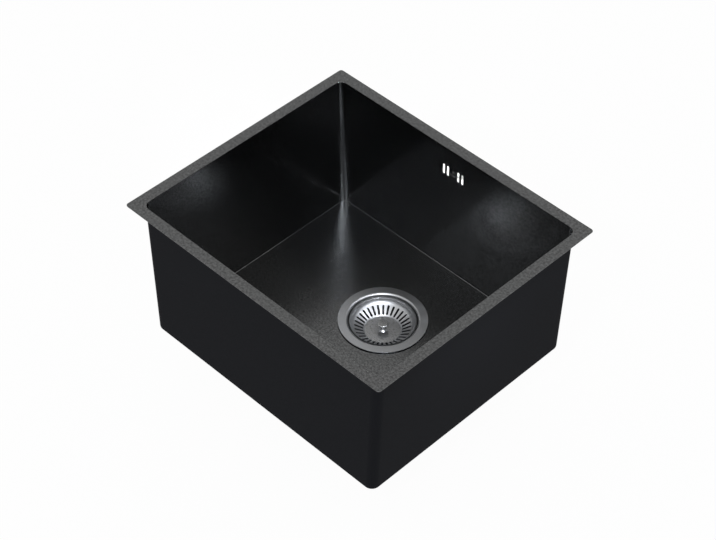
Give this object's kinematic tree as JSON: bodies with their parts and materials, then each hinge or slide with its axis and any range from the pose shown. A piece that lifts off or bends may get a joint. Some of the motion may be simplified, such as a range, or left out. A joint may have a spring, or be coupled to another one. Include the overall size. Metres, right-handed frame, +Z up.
{
  "type": "inset kitchen sink",
  "caption": "Single-bowl inset sink in black stainless steel with a flat flange, an overflow in the back wall and a basket strainer waste whose basket lifts out.",
  "frame": {"origin": "centre of the bowl outline in the top plane of the flange, where the sink meets the worktop cut-out", "axes": "+X to the right along the long side, +Y towards the wall with the overflow, +Z up out of the bowl"},
  "size_m": [0.42, 0.3762, 0.2832],
  "materials": {
    "black_steel": "black coated, fine brushed grain",
    "brushed_steel": "fine circular brushing",
    "polished_steel": "polished",
    "brass": "machined",
    "white_plastic": "moulded, satin",
    "black_rubber": "matt",
    "pad_rubber": "matt, slightly pitted"
  },
  "bodies": {
    "sink": {"sink_bowl": "black_steel", "sound_pad_left": "pad_rubber", "sound_pad_right": "pad_rubber", "waste_flange": "brushed_steel", "flange_gasket": "black_rubber", "body_gasket": "black_rubber", "waste_body": "white_plastic", "body_insert": "brass", "centre_screw": "polished_steel", "overflow_head": "white_plastic", "overflow_gasket": "black_rubber", "overflow_screw": "polished_steel", "overflow_insert": "brass", "overflow_hose": "white_plastic", "hose_nut_upper": "white_plastic", "hose_nut_lower": "white_plastic", "hose_seal_upper": "black_rubber", "hose_seal_lower": "black_rubber"},
    "plug": {"plug_seal": "black_rubber", "plug_washer": "polished_steel"},
    "basket": {"strainer_basket": "polished_steel", "lift_knob": "polished_steel", "basket_stem": "polished_steel", "stem_catch": "polished_steel"}
  },
  "joints": [
    {"name": "basket_lift", "type": "slide", "parent": "sink", "child": "plug", "axis": [0, 0, 1], "range_m": [0, 0.06]},
    {"name": "basket_turn", "type": "hinge", "parent": "plug", "child": "basket", "pos_m": [0.005, 0.04, -0.2], "axis": [0, 0, 1], "continuous": true}
  ]
}
